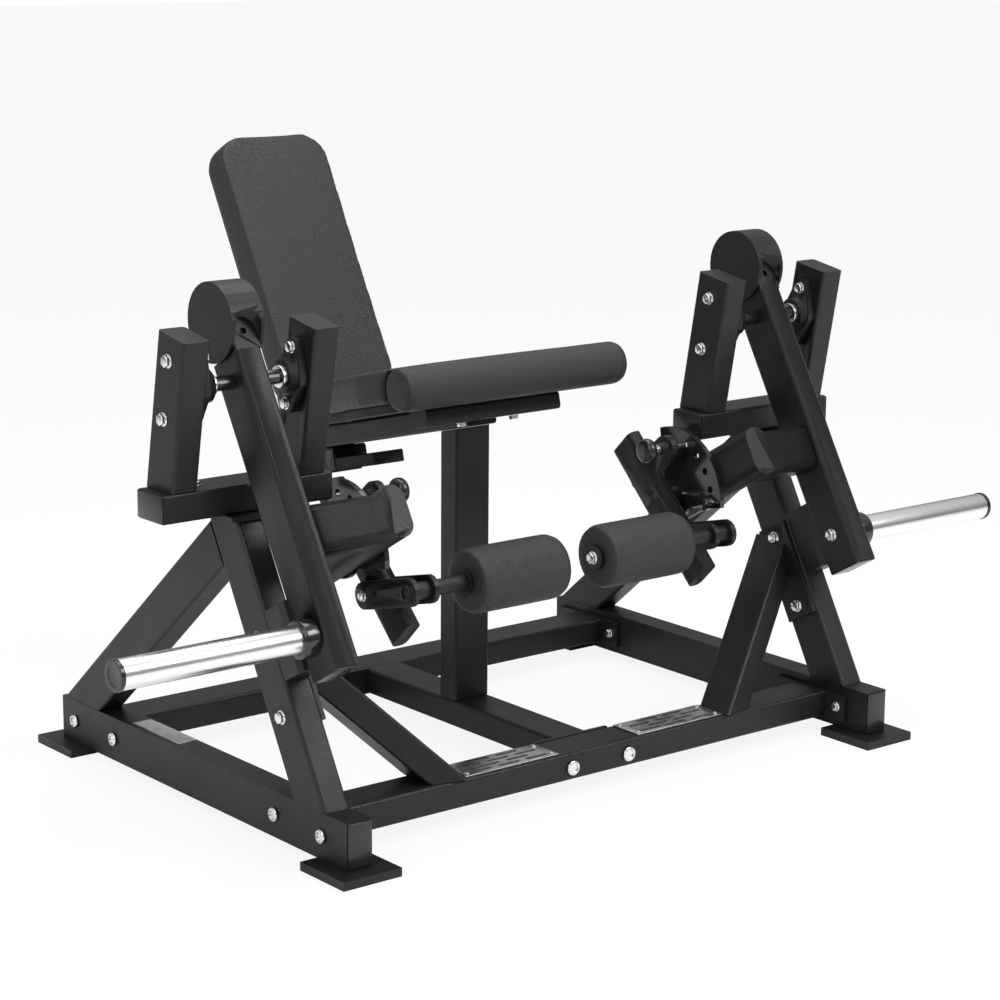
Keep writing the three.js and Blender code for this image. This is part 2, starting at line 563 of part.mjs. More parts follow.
// ---------------------------------------------------------------- seat
// Places on the sloping seat: rearwards from the roll's axis, and up square to the seat.
const seatRear = behind(SEAT.slope);
const seatUp = leaning(SEAT.slope);
const seatPoint = (back, up) => along(along(vec(0, SEAT.rollY, SEAT.rollZ), seatRear, back), seatUp, up);
const seatTop = SEAT.rollR;
const seatBottom = seatTop - SEAT.thick;
const boardBottom = seatBottom - GAP - SEAT.board;
const beamTop = boardBottom - GAP;
const beamBottom = beamTop - SEAT_FRAME.beamTall;
const padUp = leaning(BACK.lean);
const padRear = behind(BACK.lean);
const padFront = seatPoint(BACK.rearward, BACK.over);
const padPoint = (up, back) => along(along(padFront, padUp, up), padRear, back);
const forwardOfPad = (piece, back) => keep(piece, padPoint(0, back), padRear.clone().negate());

// A slab in the seat's slope, between two heights, with a trapezium outline.
function seatSlab(start, half, rearHalf, low, high, corner) {
  const end = BACK.rearward + SEAT.pastPad; // the back pad trims the slab
  const outline = new THREE.Shape();
  outline.moveTo(-half, start);
  outline.lineTo(-half, start + corner);
  outline.lineTo(-rearHalf, end);
  outline.lineTo(rearHalf, end);
  outline.lineTo(half, start + corner);
  outline.lineTo(half, start);
  return placed(extruded(outline, high - low), seatPoint(0, low), X, seatRear, seatUp);
}

const thighRoll = () => {
  const [r, h, soft] = [SEAT.rollR, SEAT.halfWidth, 7];
  return turned(vec(-h, SEAT.rollY, SEAT.rollZ), X, [[0, 0], [r - soft, 0], [r - soft * 0.3, soft * 0.3],
    [r, soft], [r, 2 * h - soft], [r - soft * 0.3, 2 * h - soft * 0.3], [r - soft, 2 * h],
    [0, 2 * h]], 24);
};

function seatCushion() {
  const slab = seatSlab(8, SEAT.halfWidth, SEAT.rearHalf, seatBottom, seatTop, SEAT.square);
  const room = rod(vec(-400, SEAT.rollY, SEAT.rollZ), X, 800, SEAT.rollR + GAP, 32);
  const below = seatPoint(reachBehindRoll(), 0);
  return forwardOfPad(keep(slab.subtract(room), below, seatRear), -4);
}

// How far behind its axis the roll reaches at the height of the cushion's underside.
function reachBehindRoll() {
  return Math.sqrt(SEAT.rollR ** 2 - seatBottom ** 2) * 0.5;
}

const seatBoard = () => forwardOfPad(
  seatSlab(SEAT_FRAME.crossAhead, SEAT.halfWidth - SEAT.boardInset, SEAT.rearHalf - SEAT.boardInset,
    boardBottom, seatBottom - GAP, SEAT.square), -6);

function seatCrossTube() {
  const middle = seatPoint(SEAT_FRAME.crossAhead + SEAT_FRAME.crossDeep / 2,
    beamTop - SEAT_FRAME.crossTall / 2);
  const half = SEAT_FRAME.crossHalf;
  return bar(middle.clone().setX(-half), middle.clone().setX(half), seatRear,
    SEAT_FRAME.crossDeep, SEAT_FRAME.crossTall, 8);
}

const beamFront = SEAT_FRAME.crossAhead + SEAT_FRAME.crossDeep + GAP;
const postFace = BACK.thick + BACK.board + 2 * GAP; // behind the pad's front face
const beyondBack = BACK.rearward + 2 * postFace; // the back post trims what runs this far

function seatBeam() {
  const middle = (beamTop + beamBottom) / 2;
  const tube = bar(seatPoint(beamFront, middle), seatPoint(beyondBack, middle), X, TUBE.wide,
    SEAT_FRAME.beamTall);
  return forwardOfPad(tube, postFace - GAP);
}

function seatPost() {
  const tube = bar(vec(0, POST.y, CROSS_TOP + GAP), vec(0, POST.y, SEAT.rollZ), X, POST.widthX,
    POST.depthY);
  return keep(tube, seatPoint(0, beamBottom - GAP), seatUp.clone().negate());
}

// The slide under the beam that carries the back post, a smaller tube in a larger one.
function backSlide() {
  const top = beamBottom - GAP;
  const low = top - TUBE.narrow + 4;
  const housingStart = BACK.rearward + BACK_POST.housingInset;
  const housing = bar(seatPoint(housingStart, (top + low) / 2),
    seatPoint(beyondBack, (top + low) / 2), X, TUBE.wide, top - low);
  const middle = low + BACK_POST.slideTall / 2;
  const inner = bar(seatPoint(BACK.rearward - BACK_POST.slideReach, middle),
    seatPoint(housingStart + 10, middle), X, BACK_POST.slideWide, BACK_POST.slideTall, 3);
  return forwardOfPad(housing.add(inner), postFace + 1);
}

// The post behind the back pad, welded to its slide.
function backPost() {
  const middle = postFace + BACK_POST.depth / 2;
  const tube = bar(padPoint(-260, middle), padPoint(BACK_POST.above, middle), X, TUBE.wide,
    BACK_POST.depth);
  return keep(tube, seatPoint(0, beamBottom - TUBE.narrow), seatUp).add(backSlide());
}

// A slab behind the back pad's front face, with rounded corners.
function backSlab(inset, front, rear) {
  const height = BACK.above + BACK.below - 2 * inset;
  const middle = (BACK.above - BACK.below) / 2;
  const shape = roundedRectangle(2 * (BACK.half - inset), height, BACK.corner - inset);
  return placed(extruded(shape, rear - front, 6), padPoint(middle, rear), X, padUp,
    padRear.clone().negate());
}

// ---------------------------------------------------------------- assembly
function sideGroup(name, mirror) {
  const group = new THREE.Group();
  group.scale.x = mirror;
  const pieces = [
    ["side_rail", sideRail(), POWDER_COAT],
    ["tread_plate", treadPlate(), STAINLESS],
    ["front_leg", frontLeg(), POWDER_COAT],
    ["rear_leg", rearLeg(), POWDER_COAT],
    ["brace", brace(), POWDER_COAT],
    ["yoke", yoke(), POWDER_COAT],
    ["inner_upright", upright(INNER_UPRIGHT, 1), POWDER_COAT],
    ["outer_upright", upright(OUTER_UPRIGHT, -1), POWDER_COAT],
    ["inner_bearing", bearing(INNER_UPRIGHT + TUBE.narrow, 1), POWDER_COAT],
    ["outer_bearing", bearing(OUTER_UPRIGHT, -1), POWDER_COAT],
    ["rest_stop", restStop(), POWDER_COAT],
    ["stop_bumper", bumper(), RUBBER],
    ["pivot_shaft", pivotShaft(), STAINLESS],
    ["swing_arm", swingArm(), POWDER_COAT],
    ["counterweight", counterweight(), POWDER_COAT],
    ["weight_horn", weightHorn(), CHROME],
    ["horn_cap", hornCap(), BLACK_PLASTIC],
    ["pad_bracket", padBracket(), POWDER_COAT],
    ["index_plate", indexPlate(), POWDER_COAT],
    ["lever", lever(), POWDER_COAT],
    ["roller_carrier", rollerCarrier(), POWDER_COAT],
    ["pull_pin", pullPin(), BLACK_PLASTIC],
    ["roller_pad", rollerPad(), VINYL],
  ];
  for (const [part, piece, look] of pieces) group.add(mesh(name + "_" + part, piece, look));
  return group;
}

function machine() {
  const group = new THREE.Group();
  group.add(
    mesh("front_rail", crossRail(FRONT_Y), POWDER_COAT),
    mesh("rear_rail", crossRail(REAR_Y), POWDER_COAT),
    mesh("spine", spine(), POWDER_COAT),
    mesh("seat_post", seatPost(), POWDER_COAT),
    mesh("seat_cross_tube", seatCrossTube(), POWDER_COAT),
    mesh("seat_beam", seatBeam(), POWDER_COAT),
    mesh("back_post", backPost(), POWDER_COAT),
    mesh("seat_board", seatBoard(), PLYWOOD),
    mesh("seat_cushion", seatCushion(), VINYL),
    mesh("thigh_roll", thighRoll(), VINYL),
    mesh("back_board", backSlab(18, BACK.thick + GAP, BACK.thick + GAP + BACK.board), PLYWOOD),
    mesh("back_pad", backSlab(0, 0, BACK.thick), VINYL),
    sideGroup("left", 1),
    sideGroup("right", -1),
  );
  return group;
}

// The origin is the centre of the footprint, on the floor.
const object = machine();
object.updateMatrixWorld(true);
const extent = new THREE.Box3().setFromObject(object, true);
const centre = extent.getCenter(new THREE.Vector3());
object.position.set(-centre.x, -centre.y, -extent.min.z);

export default object;
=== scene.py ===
# %% [markdown]
# # A leg extension machine
# The machine is a bolted frame of black box tube with a padded seat in the middle.
# At each side a swing arm hangs on a shaft between two uprights, with a chrome horn
# for weight plates and a roller pad that the sitter's shin pushes forward.
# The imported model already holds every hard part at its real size, so this lesson
# gives those parts fine edges and finishes, makes the upholstery, and adds the
# bolts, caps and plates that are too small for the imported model.

# %% Load the frame and keep its box
import json
import math

import bpy
from mathutils import Matrix, Vector


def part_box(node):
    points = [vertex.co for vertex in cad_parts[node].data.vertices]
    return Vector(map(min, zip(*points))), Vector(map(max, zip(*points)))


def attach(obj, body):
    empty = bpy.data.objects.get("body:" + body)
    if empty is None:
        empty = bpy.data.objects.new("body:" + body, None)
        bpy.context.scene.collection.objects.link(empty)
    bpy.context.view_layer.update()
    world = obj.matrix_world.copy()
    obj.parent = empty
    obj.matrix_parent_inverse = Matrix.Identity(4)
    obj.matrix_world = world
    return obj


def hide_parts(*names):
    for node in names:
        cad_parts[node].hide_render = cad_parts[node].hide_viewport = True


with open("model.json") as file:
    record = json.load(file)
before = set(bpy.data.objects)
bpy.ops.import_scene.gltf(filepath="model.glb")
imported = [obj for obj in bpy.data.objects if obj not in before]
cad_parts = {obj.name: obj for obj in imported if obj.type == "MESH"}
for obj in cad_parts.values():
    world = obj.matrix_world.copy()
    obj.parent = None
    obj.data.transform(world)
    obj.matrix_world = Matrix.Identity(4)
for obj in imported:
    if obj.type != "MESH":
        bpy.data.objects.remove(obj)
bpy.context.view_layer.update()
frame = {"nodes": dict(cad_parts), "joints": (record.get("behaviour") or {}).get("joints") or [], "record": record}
MM = 0.001

# %% [markdown]
# Blender's operators act on whatever is selected, and the loaded parts come in
# selected. Each new piece therefore starts with nothing selected, and a small
# helper picks the faces to work on by their place or by the way they face.

# %% Helpers for selecting and editing
X, Y, Z = Vector((1, 0, 0)), Vector((0, 1, 0)), Vector((0, 0, 1))
SIDES = {"left": 1, "right": -1}


def deselect():
    bpy.ops.object.select_all(action="DESELECT")


def only(piece):
    deselect()
    piece.select_set(True)
    bpy.context.view_layer.objects.active = piece


def pick_faces(piece, wanted):
    """Leaves edit mode on, with just the wanted faces selected."""
    only(piece)
    bpy.ops.object.mode_set(mode="EDIT")
    bpy.ops.mesh.select_mode(type="FACE")
    bpy.ops.mesh.select_all(action="DESELECT")
    bpy.ops.object.mode_set(mode="OBJECT")
    for face in piece.data.polygons:
        face.select = wanted(face)
    bpy.ops.object.mode_set(mode="EDIT")


def done_editing():
    bpy.ops.object.mode_set(mode="OBJECT")


def modify(piece, kind, **settings):
    """Adds a modifier, sets it up and applies it."""
    only(piece)
    modifier = piece.modifiers.new(kind.title(), kind)
    for name, value in settings.items():
        setattr(modifier, name, value)
    bpy.ops.object.modifier_apply(modifier=modifier.name)


def smooth(piece, degrees=35):
    only(piece)
    bpy.ops.object.shade_smooth_by_angle(angle=math.radians(degrees))


def settle(piece):
    """Moves the object's place into its mesh, so that the object sits at the origin."""
    only(piece)
    bpy.ops.object.transform_apply(location=True, rotation=True, scale=True)


def middle(node):
    low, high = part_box(node)
    return (Vector(low) + Vector(high)) / 2


def size(node):
    low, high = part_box(node)
    return Vector(high) - Vector(low)


# %% [markdown]
# The swing arm hangs on its hinge, and its horn is fixed near its lower end. So the
# line from the horn to the hinge gives the arm's direction. The other parts lean by
# the plain angles that the machine is drawn with.

# %% Places worked out from the frame
joints = {joint["name"]: joint for joint in frame["joints"]}


def joint_at(name):
    return Vector(joints[name]["pos_m"])


pivot = joint_at("left_arm_swing")
horn_centre = middle("left_weight_horn")
arm_up = Vector((0, pivot.y - horn_centre.y, pivot.z - horn_centre.z)).normalized()
arm_rear = Vector((0, arm_up.z, -arm_up.y))
upright_lean, leg_lean = math.radians(10.2), math.radians(29.2)
seat_slope, back_lean = math.radians(14), math.radians(28.8)
upright_up = Vector((0, -math.sin(upright_lean), math.cos(upright_lean)))
leg_up = Vector((0, math.sin(leg_lean), math.cos(leg_lean)))
seat_up = Vector((0, math.sin(seat_slope), math.cos(seat_slope)))
pad_rear = Vector((0, math.cos(back_lean), -math.sin(back_lean)))
print("arm leans", round(math.degrees(math.atan2(arm_up.y, arm_up.z)), 1), "degrees")

# %% [markdown]
# ## A shared shader group
# Powder coat, vinyl and plastic all have a fine relief and a slight unevenness of
# gloss. One group makes the relief from a fine noise or from round cells, and slow
# patches for the colour and the gloss. Each material sets its own amounts on the
# group's inputs.

# %% Group: fine relief and uneven gloss


def new_group(name, inputs, outputs):
    tree = bpy.data.node_groups.new(name, "ShaderNodeTree")
    for title, value in inputs.items():
        socket = tree.interface.new_socket(title, in_out="INPUT", socket_type="NodeSocketFloat")
        socket.default_value = value
    for title in outputs:
        tree.interface.new_socket(title, in_out="OUTPUT", socket_type="NodeSocketFloat")
    return tree, tree.nodes.new("NodeGroupInput"), tree.nodes.new("NodeGroupOutput")


def grain_group():
    tree, given, result = new_group(
        "grain", {"Grain size": 900.0, "Patch size": 14.0, "Cell share": 0.0},
        ("Height", "Patches"))
    link = tree.links.new
    place = tree.nodes.new("ShaderNodeTexCoord")
    fine = tree.nodes.new("ShaderNodeTexNoise")
    fine.inputs["Detail"].default_value = 3
    cells = tree.nodes.new("ShaderNodeTexVoronoi")
    cells.feature = "F1"
    mix = tree.nodes.new("ShaderNodeMix")
    patches = tree.nodes.new("ShaderNodeTexNoise")
    patches.inputs["Detail"].default_value = 4
    for texture in (fine, cells, patches):
        link(place.outputs["Object"], texture.inputs["Vector"])
    link(given.outputs["Grain size"], fine.inputs["Scale"])
    link(given.outputs["Grain size"], cells.inputs["Scale"])
    link(given.outputs["Patch size"], patches.inputs["Scale"])
    link(given.outputs["Cell share"], mix.inputs["Factor"])
    link(fine.outputs["Fac"], mix.inputs["A"])
    link(cells.outputs["Distance"], mix.inputs["B"])
    link(mix.outputs["Result"], result.inputs["Height"])
    link(patches.outputs["Fac"], result.inputs["Patches"])
    return tree


grain = grain_group()
print("group", grain.name, "with", len(grain.nodes), "nodes")

# %% [markdown]
# ## Materials
# Every finish of the machine is a Principled shader with its relief in the Bump node
# and its colour and gloss varied by the shared group. Colours are plain values: the
# powder coat is a satin near-black, the vinyl a charcoal with a visible grain.

# %% One function builds each finish


def finish(name, dark, light, rough, rough_spread, metal=0.0, grain_size=900.0, cell_share=0.0,
           relief=0.1, depth=0.0003, coat=0.0, patch_size=14.0, specular=0.5):
    material = bpy.data.materials.new(name)
    material.use_nodes = True
    tree = material.node_tree
    link = tree.links.new
    shader = tree.nodes["Principled BSDF"]
    shader.inputs["Metallic"].default_value = metal
    shader.inputs["Coat Weight"].default_value = coat
    shader.inputs["Coat Roughness"].default_value = 0.12
    shader.inputs["Specular IOR Level"].default_value = specular
    texture = tree.nodes.new("ShaderNodeGroup")
    texture.node_tree = grain
    texture.inputs["Grain size"].default_value = grain_size
    texture.inputs["Patch size"].default_value = patch_size
    texture.inputs["Cell share"].default_value = cell_share
    colour = tree.nodes.new("ShaderNodeMix")
    colour.data_type = "RGBA"
    colour.inputs["A"].default_value = (*dark, 1)
    colour.inputs["B"].default_value = (*light, 1)
    link(texture.outputs["Patches"], colour.inputs["Factor"])
    link(colour.outputs["Result"], shader.inputs["Base Color"])
    gloss = tree.nodes.new("ShaderNodeMapRange")
    gloss.inputs["From Min"].default_value = 0.3
    gloss.inputs["From Max"].default_value = 0.7
    gloss.inputs["To Min"].default_value = rough - rough_spread
    gloss.inputs["To Max"].default_value = rough + rough_spread
    link(texture.outputs["Patches"], gloss.inputs["Value"])
    link(gloss.outputs["Result"], shader.inputs["Roughness"])
    bump = tree.nodes.new("ShaderNodeBump")
    bump.inputs["Strength"].default_value = relief
    bump.inputs["Distance"].default_value = depth
    link(texture.outputs["Height"], bump.inputs["Height"])
    link(bump.outputs["Normal"], shader.inputs["Normal"])
    return material


# %% The finishes of this machine
MATERIALS = {
    "powder_coat": finish("satin_powder_coat", (0.005, 0.0052, 0.0055), (0.011, 0.0113, 0.012),
                          0.42, 0.05, grain_size=420, relief=0.75, depth=0.0007,
                          specular=0.34),
    "gloss_black": finish("gloss_black", (0.007, 0.007, 0.008), (0.014, 0.014, 0.015),
                          0.2, 0.05, grain_size=500, relief=0.05, coat=0.3),
    "vinyl": finish("grained_vinyl", (0.009, 0.0095, 0.0105), (0.021, 0.0215, 0.0235), 0.5, 0.07,
                    grain_size=430, cell_share=0.6, relief=0.95, depth=0.0019, patch_size=160,
                    specular=0.5),
    "board": finish("black_board", (0.008, 0.008, 0.008), (0.02, 0.02, 0.02), 0.7, 0.1,
                    grain_size=200, relief=0.2),
    "chrome": finish("polished_chrome", (0.78, 0.785, 0.79), (0.82, 0.82, 0.83), 0.25, 0.012,
                     metal=1.0, grain_size=260, relief=0.0, depth=0.0001, patch_size=4),
    "stainless": finish("bright_stainless", (0.5, 0.5, 0.51), (0.72, 0.72, 0.73), 0.27, 0.07,
                        metal=1.0, grain_size=700, relief=0.06, patch_size=50),
    "plastic": finish("black_plastic", (0.008, 0.008, 0.009), (0.018, 0.018, 0.019), 0.25, 0.06,
                      grain_size=600, relief=0.06),
    "rubber": finish("matt_rubber", (0.01, 0.01, 0.01), (0.02, 0.02, 0.02), 0.85, 0.08,
                     grain_size=500, relief=0.3, depth=0.0004),
}
print(len(MATERIALS), "finishes")


def paint(piece, slot):
    piece.data.materials.clear()
    piece.data.materials.append(MATERIALS[slot])


# %% [markdown]
# ## Fine hard parts
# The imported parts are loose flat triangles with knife-sharp edges. Real welded tube
# and cut plate have softened edges that catch the light. A copy of each part is
# merged and its round faces are shaded smooth. On the plain tubes and plates the flat
# triangles are also dissolved into whole faces, so that a narrow bevel can run along
# the sharp edges; parts with bores and many holes keep their triangles, because a
# bevel tangles there. Weighted normals keep the bevelled parts' flat faces flat in
# the light.

# %% Refine a copy of each hard part
SLOT_OF = {part["node"]: part["material_slot"] for part in frame["record"]["subparts"]}
BODY_OF = {node: body for body, nodes in frame["record"]["behaviour"]["bodies"].items()
           for node in nodes}
SOFT = ["seat_cushion", "thigh_roll", "back_pad", "left_roller_pad", "right_roller_pad"]
REMADE = [f"{side}_{part}" for side in SIDES
          for part in ("weight_horn", "horn_cap", "pull_pin", "tread_plate")]
WITH_HOLES = ("upright", "bearing", "pivot_shaft", "swing_arm", "counterweight", "index_plate",
              "lever", "roller_carrier", "pad_bracket", "back_post")


def copy_of(node, name):
    source = frame["nodes"][node]
    piece = bpy.data.objects.new(name, source.data.copy())
    bpy.context.scene.collection.objects.link(piece)
    only(piece)
    bpy.ops.object.mode_set(mode="EDIT")
    bpy.ops.mesh.select_all(action="SELECT")
    bpy.ops.mesh.remove_doubles(threshold=0.01 * MM)
    done_editing()
    return piece


def refine(node, bevel=0.9 * MM):
    piece = copy_of(node, node + "_fine")
    if not node.endswith(WITH_HOLES):
        bpy.ops.object.mode_set(mode="EDIT")
        bpy.ops.mesh.select_all(action="SELECT")
        bpy.ops.mesh.dissolve_limited(angle_limit=math.radians(1))
        done_editing()
        modify(piece, "BEVEL", width=bevel, segments=2, limit_method="ANGLE",
               angle_limit=math.radians(50))
        smooth(piece)
        modify(piece, "WEIGHTED_NORMAL", keep_sharp=True, weight=90)
    else:
        smooth(piece, 25)
    paint(piece, "gloss_black" if node.endswith("pivot_shaft") else SLOT_OF[node])
    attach(piece, BODY_OF[node])
    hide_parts(node)
    return piece


hard = [node for node in frame["nodes"] if node not in SOFT + REMADE]
for node in hard:
    refine(node)
print("refined", len(hard), "hard parts")

# %% [markdown]
# ## Turned pieces
# Horn, collar, cap and knob are round pieces made on a lathe or moulded. Each
# starts as a cylinder with many sides. Its end faces are inset and pulled in or out
# in edit mode, and a bevel modifier rounds the rims.

# %% A round piece with shaped ends


def round_piece(name, centre, axis, radius, length, sides=64, rim=1.5 * MM, dish=0.0, inset=0.0):
    deselect()
    bpy.ops.mesh.primitive_cylinder_add(
        vertices=sides, radius=radius, depth=length, location=centre,
        rotation=axis.to_track_quat("Z", "Y").to_euler())
    piece = bpy.context.object
    piece.name = name
    settle(piece)
    if inset:
        pick_faces(piece, lambda face: abs(face.normal.dot(axis)) > 0.99)
        bpy.ops.mesh.inset(thickness=inset, use_individual=True)
        bpy.ops.mesh.extrude_region_shrink_fatten(
            TRANSFORM_OT_shrink_fatten={"value": dish})
        done_editing()
    modify(piece, "BEVEL", width=rim, segments=4, limit_method="ANGLE",
           angle_limit=math.radians(30))
    smooth(piece, 40)
    return piece


# %% Weight horns, collars and end caps
HORN_RADIUS, COLLAR_RADIUS, CAP_RADIUS = 25 * MM, 33 * MM, 26 * MM
COLLAR_LENGTH = 29 * MM
SLEEVE_PAST = 10 * MM  # the sleeve runs on under the cap's place, and the cap is shorter
for side, way in SIDES.items():
    horn_low, horn_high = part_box(f"{side}_weight_horn")
    cap_middle = middle(f"{side}_horn_cap") + X * (way * SLEEVE_PAST / 2)
    cap_length = size(f"{side}_horn_cap").x - SLEEVE_PAST
    axis_at = middle(f"{side}_weight_horn")
    inner_x = way * min(abs(horn_low[0]), abs(horn_high[0]))
    outer_x = way * max(abs(horn_low[0]), abs(horn_high[0]))
    out = X * way
    sleeve = round_piece(
        f"{side}_horn_sleeve",
        Vector(((inner_x + outer_x + way * SLEEVE_PAST) / 2, axis_at.y, axis_at.z)), out,
        HORN_RADIUS, abs(outer_x - inner_x) + SLEEVE_PAST, sides=96, rim=1 * MM)
    paint(sleeve, "chrome")
    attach(sleeve, f"{side}_arm")
    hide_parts(f"{side}_weight_horn")
    ring = round_piece(
        f"{side}_horn_collar",
        Vector((inner_x + way * COLLAR_LENGTH / 2, axis_at.y, axis_at.z)), out,
        COLLAR_RADIUS, COLLAR_LENGTH, sides=96, rim=4 * MM)
    paint(ring, "gloss_black")
    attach(ring, f"{side}_arm")
    cap = round_piece(f"{side}_horn_end_cap", cap_middle, out, CAP_RADIUS, cap_length,
                      sides=96, rim=3 * MM, inset=9 * MM, dish=-1.2 * MM)
    paint(cap, "plastic")
    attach(cap, f"{side}_arm")
    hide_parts(f"{side}_horn_cap")
print("horns from", round(abs(inner_x), 3), "to", round(abs(outer_x), 3), "m")

# %% [markdown]
# ## Pull pins
# A pull pin locks each lever in one of five holes. Its knob is moulded plastic on a
# plated neck and rod.

# %% Pull pins
KNOB_RADIUS, NECK_RADIUS, ROD_RADIUS = 23 * MM, 9 * MM, 6 * MM
KNOB_LENGTH, NECK_LENGTH = 22 * MM, 18 * MM
for side, way in SIDES.items():
    low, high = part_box(f"{side}_pull_pin")
    at = middle(f"{side}_pull_pin")
    inner = way * min(abs(low[0]), abs(high[0]))
    nose = way * max(abs(low[0]), abs(high[0]))
    knob = round_piece(f"{side}_pin_knob", Vector((inner + way * KNOB_LENGTH / 2, at.y, at.z)),
                       X * way, KNOB_RADIUS, KNOB_LENGTH, rim=9.5 * MM)
    paint(knob, "plastic")
    neck_from = inner + way * KNOB_LENGTH
    neck = round_piece(f"{side}_pin_neck",
                       Vector((neck_from + way * NECK_LENGTH / 2, at.y, at.z)), X * way,
                       NECK_RADIUS, NECK_LENGTH, rim=1.5 * MM)
    paint(neck, "chrome")
    rod_from = neck_from + way * NECK_LENGTH
    rod = round_piece(f"{side}_pin_rod", Vector(((rod_from + nose) / 2, at.y, at.z)), X * way,
                      ROD_RADIUS, abs(nose - rod_from), sides=32, rim=1.2 * MM)
    paint(rod, "stainless")
    for piece in (knob, neck, rod):
        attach(piece, f"{side}_pin")
    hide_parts(f"{side}_pull_pin")
print("knob 46 mm across on a 12 mm rod")

# %% [markdown]
# ## Tread plates
# The sitter steps on two stainless plates on the front rail. Their grip comes from round-ended slots in staggered
# rows. The slots are made from thin cylinders whose two halves are pulled apart into round ends, joined, and cut
# out of the plate, so the dark rail shows through them.

# %% Slotted plates
TREAD_SLOT = {"length": 48, "width": 7, "pitch": 62, "rows": 4}


def slab(name, centre, dimensions, rounding, segments=4):
    deselect()
    bpy.ops.mesh.primitive_cube_add(size=1, location=centre)
    piece = bpy.context.object
    piece.name = name
    piece.scale = dimensions
    settle(piece)
    modify(piece, "BEVEL", width=rounding, segments=segments, limit_method="ANGLE",
           angle_limit=math.radians(40))
    smooth(piece)
    return piece


def join(name, pieces):
    only(pieces[0])
    for piece in pieces:
        piece.select_set(True)
    bpy.ops.object.join()
    pieces[0].name = name
    return pieces[0]


for side, way in SIDES.items():
    centre, extent = middle(f"{side}_tread_plate"), size(f"{side}_tread_plate")
    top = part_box(f"{side}_tread_plate")[1][2]
    tread = slab(f"{side}_slotted_tread", centre, extent, 0.6 * MM, 2)
    spacing = extent.y / (TREAD_SLOT["rows"] + 0.4)
    cutters = []
    for row in range(TREAD_SLOT["rows"]):
        y = centre.y + (row - (TREAD_SLOT["rows"] - 1) / 2) * spacing
        count = 3 if row % 2 == 0 else 2
        for i in range(count):
            x = centre.x + (i - (count - 1) / 2) * TREAD_SLOT["pitch"] * MM
            half = TREAD_SLOT["width"] / 2 * MM
            cutters.append(round_piece("slot", Vector((x, y, top)), Z, half, 12 * MM, 24,
                                       0.01 * MM))
            reach = (TREAD_SLOT["length"] / 2) * MM - half
            for vertex in cutters[-1].data.vertices:
                vertex.co.x += reach if vertex.co.x > x else -reach
    cutter = join("slots", cutters)
    modify(tread, "BOOLEAN", object=cutter, operation="DIFFERENCE", solver="EXACT")
    bpy.data.objects.remove(cutter)
    smooth(tread)
    paint(tread, "stainless")
    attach(tread, "root")
    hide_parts(f"{side}_tread_plate")
print("each tread has", len(cutters), "slots")

# %% [markdown]
# ## Fasteners
# The frame bolts together, so bolt heads are everywhere. Two kinds are modelled once
# at the origin, facing up: a hexagon head on a washer, and a low dome with a socket.
# Each copy gets its own mesh, moved to its place.

# %% Model the two heads


def hex_head():
    deselect()
    bpy.ops.mesh.primitive_cylinder_add(vertices=6, radius=10.5 * MM, depth=7 * MM,
                                        location=(0, 0, 4.8 * MM))
    head = bpy.context.object
    settle(head)
    pick_faces(head, lambda face: face.normal.z > 0.9)
    bpy.ops.mesh.inset(thickness=1.6 * MM)
    bpy.ops.transform.translate(value=(0, 0, 0.9 * MM))
    done_editing()
    modify(head, "BEVEL", width=0.6 * MM, segments=2, limit_method="ANGLE")
    washer = round_piece("washer", Vector((0, 0, 0.9 * MM)), Z, 11.8 * MM, 1.6 * MM, 40, 0.5 * MM)
    piece = join("hex_head", [head, washer])
    smooth(piece)
    return piece


def dome_head():
    deselect()
    bpy.ops.mesh.primitive_cylinder_add(vertices=48, radius=13.5 * MM, depth=6 * MM,
                                        location=(0, 0, 3.1 * MM))
    piece = bpy.context.object
    settle(piece)
    modify(piece, "BEVEL", width=5.2 * MM, segments=6, limit_method="ANGLE",
           angle_limit=math.radians(60))
    pick_faces(piece, lambda face: face.normal.z > 0.99)
    bpy.ops.mesh.inset(thickness=2.4 * MM)
    bpy.ops.mesh.extrude_region_move(TRANSFORM_OT_translate={"value": (0, 0, -2.5 * MM)})
    done_editing()
    piece.name = "dome_head"
    smooth(piece, 40)
    return piece


heads = {"hex": hex_head(), "dome": dome_head()}
print("heads:", {name: len(head.data.polygons) for name, head in heads.items()}, "faces")

# %% Place them


def fasten(name, kind, place, out, body, scale=1.0, slot="chrome"):
    piece = bpy.data.objects.new(name, heads[kind].data.copy())
    bpy.context.scene.collection.objects.link(piece)
    turn = out.to_track_quat("Z", "Y").to_matrix().to_4x4()
    piece.data.transform(Matrix.Translation(place) @ turn @ Matrix.Scale(scale, 4))
    paint(piece, slot)
    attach(piece, body)
    return piece


